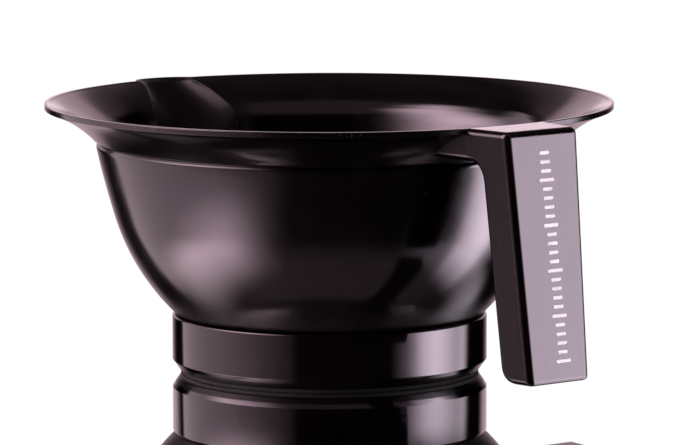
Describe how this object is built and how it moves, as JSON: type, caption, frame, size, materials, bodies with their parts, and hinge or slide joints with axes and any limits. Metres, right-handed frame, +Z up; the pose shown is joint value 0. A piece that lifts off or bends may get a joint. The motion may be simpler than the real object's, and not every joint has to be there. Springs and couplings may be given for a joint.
{
  "type": "hair colour mixing bowl",
  "caption": "Round bowl for mixing hair colour, with a flared rim, a pouring spout, a hooked channel-section handle and a collar foot with a rubber non-slip ring.",
  "frame": {"origin": "middle of the underside of the whole bounding box, on the surface that the bowl stands on; the bowl's own axis stands 7.2 mm from it towards -X", "axes": "+Z up along the bowl's axis, +X towards the handle, -X towards the spout, +Y across; the XZ plane is the plane of symmetry"},
  "size_m": [0.1783, 0.152, 0.0727],
  "materials": {
    "gloss_black": "polished injection-moulded plastic, black with a faint plum tint",
    "handle_black": "polished on the outer face, satin on the side walls",
    "ring_rubber": "matte black rubber"
  },
  "bodies": {
    "root": {"bowl_shell": "gloss_black", "foot_ring": "gloss_black", "handle": "handle_black", "nonslip_ring": "ring_rubber"}
  },
  "joints": []
}
